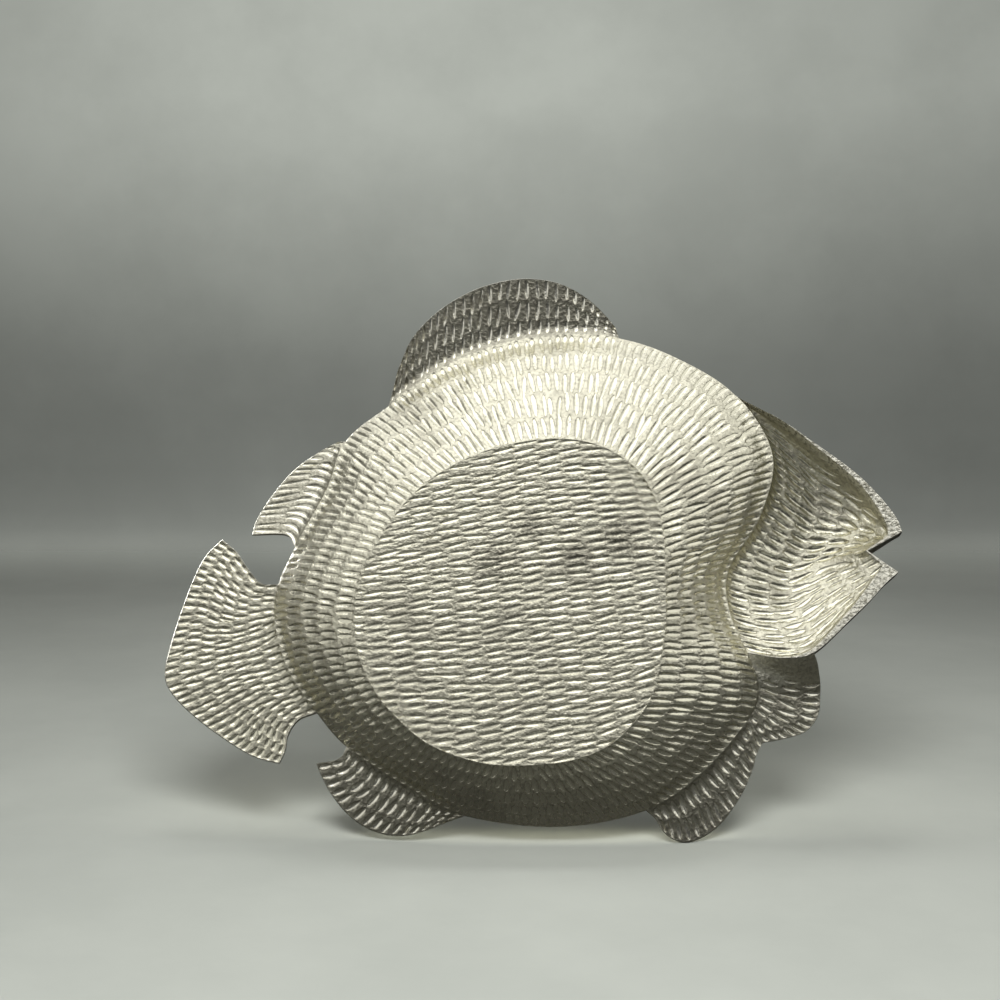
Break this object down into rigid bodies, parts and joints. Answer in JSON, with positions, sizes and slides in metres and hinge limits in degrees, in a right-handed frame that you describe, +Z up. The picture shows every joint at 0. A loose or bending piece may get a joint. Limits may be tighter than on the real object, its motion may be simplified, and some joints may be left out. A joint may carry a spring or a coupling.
{
  "type": "fish shaped platter",
  "caption": "Cast metal serving platter shaped as a deep bodied fish, with a flat foot, a dished body, a domed head, fins and a tail.",
  "frame": {"origin": "middle of the flat foot's underside, which rests on the table", "axes": "+Z up out of the dish, +X from the head towards the tail, +Y from the belly towards the dorsal fin"},
  "size_m": [0.4802, 0.384, 0.0571],
  "materials": {
    "aluminium": "cast, hand gouged, satin with darkened hollows"
  },
  "bodies": {
    "root": {"foot_panel": "aluminium", "dish_wall": "aluminium", "head": "aluminium", "dorsal_fin": "aluminium", "rear_dorsal_fin": "aluminium", "tail_fin": "aluminium", "anal_fin": "aluminium", "pelvic_fin": "aluminium", "pectoral_fin": "aluminium"}
  },
  "joints": []
}
